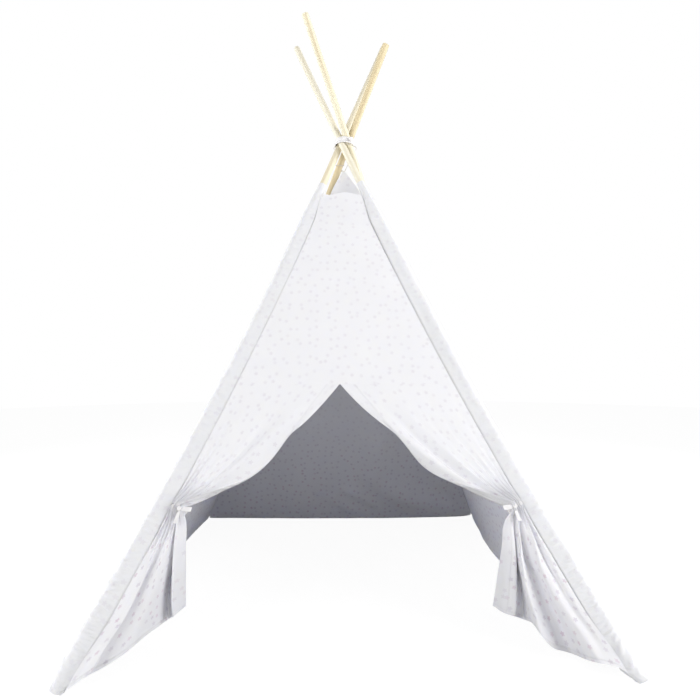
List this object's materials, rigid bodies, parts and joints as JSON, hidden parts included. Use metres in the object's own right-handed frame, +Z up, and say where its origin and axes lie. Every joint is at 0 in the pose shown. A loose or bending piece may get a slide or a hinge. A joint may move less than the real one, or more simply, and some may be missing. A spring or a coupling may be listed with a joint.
{
  "type": "kids teepee",
  "caption": "Kids' play teepee: crossed wooden poles in cloth sleeves, plain cloth walls and a front door with its curtains tied back; the poles fold together.",
  "frame": {"origin": "on the floor, under the crossing of the poles", "axes": "+Z up; the door faces -Y; +X to the right as seen by someone facing the door"},
  "size_m": [1.2515, 1.251, 1.8908],
  "materials": {
    "pine_pole": "smooth, unvarnished",
    "ferrule_steel": "brushed",
    "white_cotton": "matte weave",
    "cotton_tape": "matte tape"
  },
  "bodies": {
    "lashing": {"tie_band": "cotton_tape", "tie_band_knot": "cotton_tape", "lashing_cord_right_end": "cotton_tape", "lashing_cord_left_end": "cotton_tape"},
    "front_left_pole": {"front_left_pole_upper": "pine_pole", "front_left_pole_lower": "pine_pole", "front_left_ferrule": "ferrule_steel", "front_left_sleeve": "white_cotton", "front_panel": "white_cotton", "left_door_curtain": "white_cotton", "left_tie_back_loop": "cotton_tape", "left_tie_back_knot": "cotton_tape", "left_tie_back_ends": "cotton_tape"},
    "front_right_pole": {"front_right_pole_upper": "pine_pole", "front_right_pole_lower": "pine_pole", "front_right_ferrule": "ferrule_steel", "front_right_sleeve": "white_cotton", "right_door_curtain": "white_cotton", "right_tie_back_loop": "cotton_tape", "right_tie_back_knot": "cotton_tape", "right_tie_back_ends": "cotton_tape"},
    "back_right_pole": {"back_right_pole_upper": "pine_pole", "back_right_pole_lower": "pine_pole", "back_right_ferrule": "ferrule_steel", "back_right_sleeve": "white_cotton", "right_wall": "white_cotton", "back_wall": "white_cotton", "tip_cord": "cotton_tape"},
    "back_left_pole": {"back_left_pole_upper": "pine_pole", "back_left_pole_lower": "pine_pole", "back_left_ferrule": "ferrule_steel", "back_left_sleeve": "white_cotton", "left_wall": "white_cotton", "tip_cord_wrap": "cotton_tape"}
  },
  "joints": [
    {"name": "fold_front_left", "type": "hinge", "parent": "lashing", "child": "front_left_pole", "pos_m": [-0.01268, 0.01216, 1.4255], "axis": [0.7216, -0.6923, 0], "range_deg": [0, 23], "deforming": ["front_panel", "left_door_curtain"]},
    {"name": "fold_front_right", "type": "hinge", "parent": "lashing", "child": "front_right_pole", "pos_m": [-0.01216, -0.01268, 1.4255], "axis": [0.6923, 0.7216, 0], "range_deg": [0, 23], "deforming": ["right_door_curtain"]},
    {"name": "fold_back_right", "type": "hinge", "parent": "lashing", "child": "back_right_pole", "pos_m": [0.01268, -0.01216, 1.4255], "axis": [-0.7216, 0.6923, 0], "range_deg": [0, 23], "deforming": ["right_wall", "back_wall", "tip_cord"]},
    {"name": "fold_back_left", "type": "hinge", "parent": "lashing", "child": "back_left_pole", "pos_m": [0.01216, 0.01268, 1.4255], "axis": [-0.6923, -0.7216, 0], "range_deg": [0, 23], "deforming": ["left_wall"]}
  ],
  "couplings": [
    {"joint": "fold_front_left", "follows": "fold_back_right", "ratio": 1},
    {"joint": "fold_front_right", "follows": "fold_back_right", "ratio": 1},
    {"joint": "fold_back_left", "follows": "fold_back_right", "ratio": 1}
  ]
}
